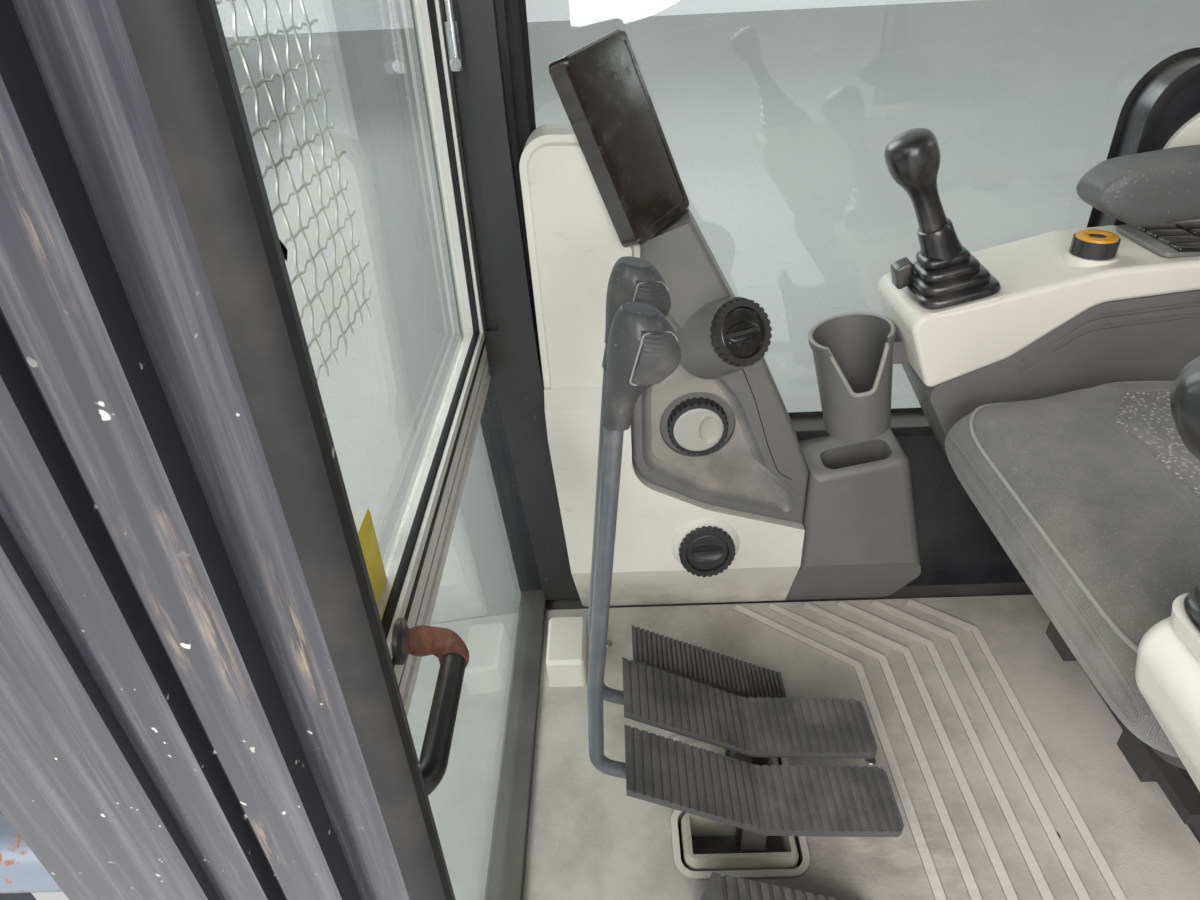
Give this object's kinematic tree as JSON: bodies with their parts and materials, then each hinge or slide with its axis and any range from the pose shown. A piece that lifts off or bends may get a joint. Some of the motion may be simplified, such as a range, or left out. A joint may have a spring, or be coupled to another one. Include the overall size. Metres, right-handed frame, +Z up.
{
  "type": "crawler excavator operator's cab",
  "caption": "Glazed operator's cab of a crawler excavator with door, roof hatch, wire guard, seat, consoles, joysticks and travel levers with pedals.",
  "frame": {"origin": "underside of the base frame, in the middle of the four cab mounting holes", "axes": "+X to the cab's left (door side), +Y to its rear, +Z up; the front windscreen faces -Y"},
  "size_m": [1.024, 1.7893, 1.726],
  "materials": {
    "frame_paint": "dark grey gloss paint, scratched",
    "floor_steel": "dark grey paint",
    "floor_rubber": "dusty beige-grey rubber",
    "roof_paint": "dark grey gloss paint",
    "sash_alloy": "pale drawn section",
    "glass": "clear, dusty",
    "guard_paint": "black paint",
    "mesh_steel": "bare crimped wire",
    "black_plastic": "grained",
    "strut_chrome": "polished rod",
    "light_plastic": "fine grain",
    "grey_plastic": "fine grain",
    "screen_gloss": "glossy screen",
    "black_rubber": "ribbed",
    "black_paint": "matt black",
    "seat_fabric": "woven",
    "armrest_vinyl": "padded vinyl",
    "lever_paint": "satin grey-blue paint",
    "valve_iron": "cast",
    "boot_rubber": "cream bellows",
    "handle_paint": "black paint"
  },
  "bodies": {
    "cab": {"base_frame": "frame_paint", "floor_plate": "floor_steel", "floor_mat": "floor_rubber", "left_frame": "frame_paint", "right_frame": "frame_paint", "front_frame": "frame_paint", "rear_wall": "frame_paint", "roof_panel": "roof_paint", "windscreen_sash": "sash_alloy", "windscreen_glass": "glass", "fixed_windows": "glass", "guard_frame": "guard_paint", "guard_mesh": "mesh_steel", "pillar_trim": "black_plastic", "windscreen_strut": "strut_chrome", "console_shell": "light_plastic", "console_core": "grey_plastic", "monitor": "screen_gloss", "air_vents": "black_plastic", "cup_tray": "grey_plastic", "bottle_holder": "grey_plastic", "right_console_body": "grey_plastic", "right_console_cover": "light_plastic", "right_joystick": "black_rubber", "control_dial": "black_plastic", "seat_base": "black_paint", "seat_cushion": "seat_fabric", "seat_back": "seat_fabric", "seat_levers": "black_plastic", "right_armrest": "armrest_vinyl", "foot_pads": "black_rubber", "pedal_pivots": "valve_iron", "pedal_boots": "boot_rubber", "sash_handle": "handle_paint", "floor_box": "light_plastic"},
    "door": {"door_frame": "frame_paint", "door_glass": "glass"},
    "roof_hatch": {"roof_hatch": "roof_paint"},
    "left_travel": {"left_travel_lever": "lever_paint", "left_travel_pad": "black_rubber"},
    "right_travel": {"right_travel_lever": "lever_paint", "right_travel_pad": "black_rubber"},
    "left_console": {"left_console": "light_plastic", "left_joystick": "black_rubber", "left_armrest": "armrest_vinyl"}
  },
  "joints": [
    {"name": "door_hinge", "type": "hinge", "parent": "cab", "child": "door", "pos_m": [0.515, 0.075, 0.446], "axis": [0, 0, -1], "range_deg": [0, 180]},
    {"name": "hatch_hinge", "type": "hinge", "parent": "cab", "child": "roof_hatch", "pos_m": [0, 0.084, 1.715], "axis": [-1, 0, 0], "range_deg": [0, 80]},
    {"name": "left_travel_pivot", "type": "hinge", "parent": "cab", "child": "left_travel", "pos_m": [0.055, -0.455, 0.15], "axis": [1, 0, 0], "range_deg": [-12, 12], "stiffness_Nm_per_rad": 150},
    {"name": "right_travel_pivot", "type": "hinge", "parent": "cab", "child": "right_travel", "pos_m": [-0.055, -0.455, 0.15], "axis": [1, 0, 0], "range_deg": [-12, 12], "stiffness_Nm_per_rad": 150},
    {"name": "left_console_tilt", "type": "hinge", "parent": "cab", "child": "left_console", "pos_m": [0.33, 0.3, 0.52], "axis": [-1, 0, 0], "range_deg": [0, 28]}
  ]
}
